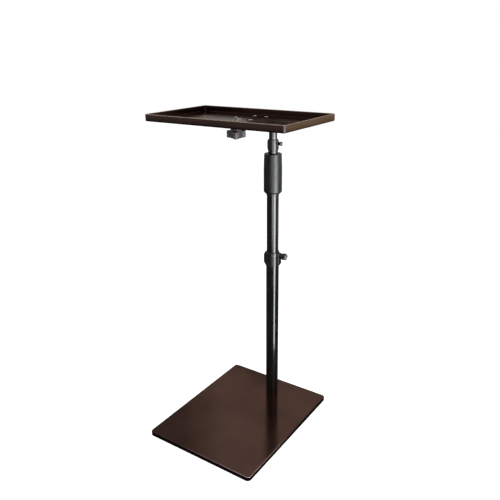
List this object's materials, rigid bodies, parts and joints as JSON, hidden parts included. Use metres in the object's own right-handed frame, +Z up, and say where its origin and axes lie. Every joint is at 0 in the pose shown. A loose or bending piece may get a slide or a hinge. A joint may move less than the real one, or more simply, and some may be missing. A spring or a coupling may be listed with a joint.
{
  "type": "portable projector stand",
  "caption": "Floor-standing projector stand: heavy flat base plate, telescopic mast with twist lock and thumb-screw collars, and a shallow swivelling tray with a projector screw.",
  "frame": {"origin": "on the floor below the middle of the base plate", "axes": "+Z up along the mast, -Y towards the front, away from the mast, +X to the side of the thumb screws"},
  "size_m": [0.302, 0.3166, 0.6587],
  "materials": {
    "brown_paint": "semi-gloss coffee brown powder coat",
    "arm_paint": "satin black powder coat",
    "black_tube": "gloss black",
    "collar_plastic": "black moulded nylon",
    "grip_rubber": "matte black rubber",
    "pad_rubber": "matte black rubber",
    "knob_plastic": "dark grey moulded plastic",
    "screw_steel": "zinc-plated steel"
  },
  "bodies": {
    "stand": {"base_plate": "brown_paint", "foot_pad_front_left": "pad_rubber", "foot_pad_front_right": "pad_rubber", "foot_pad_back_left": "pad_rubber", "foot_pad_back_right": "pad_rubber", "base_bolt": "screw_steel", "lower_tube": "black_tube", "coupling_collar": "collar_plastic", "upper_tube": "black_tube", "clutch_collet": "collar_plastic"},
    "coupling_screw": {"coupling_screw_shank": "screw_steel", "coupling_screw_head": "collar_plastic"},
    "grip": {"clutch_grip": "grip_rubber", "clutch_nut": "collar_plastic"},
    "slide": {"inner_tube": "black_tube", "guide_bush": "collar_plastic", "top_collar": "collar_plastic"},
    "top_screw": {"top_screw_shank": "screw_steel", "top_screw_head": "collar_plastic"},
    "tray_unit": {"stub_tube": "black_tube", "tray_arm": "arm_paint", "tray": "brown_paint"},
    "knob": {"projector_stud": "screw_steel", "knob_washer": "screw_steel", "stud_keeper": "screw_steel", "star_knob": "knob_plastic"}
  },
  "joints": [
    {"name": "height_slide", "type": "slide", "parent": "stand", "child": "slide", "axis": [0, 0, 1], "range_m": [0, 0.35]},
    {"name": "clutch_twist", "type": "hinge", "parent": "stand", "child": "grip", "pos_m": [0, 0.127, 0.526], "axis": [0, 0, 1], "range_deg": [0, 120]},
    {"name": "coupling_screw_turn", "type": "hinge", "parent": "stand", "child": "coupling_screw", "pos_m": [0.027, 0.127, 0.3458], "axis": [1, 0, 0], "range_deg": [0, 1080]},
    {"name": "top_screw_turn", "type": "hinge", "parent": "slide", "child": "top_screw", "pos_m": [0.016, 0.127, 0.5881], "axis": [1, 0, 0], "range_deg": [0, 1080]},
    {"name": "tray_swivel", "type": "hinge", "parent": "slide", "child": "tray_unit", "pos_m": [0, 0.127, 0.62], "axis": [0, 0, 1], "continuous": true},
    {"name": "knob_turn", "type": "hinge", "parent": "tray_unit", "child": "knob", "pos_m": [0, -0.0024, 0.625], "axis": [0, 0, 1], "continuous": true}
  ]
}
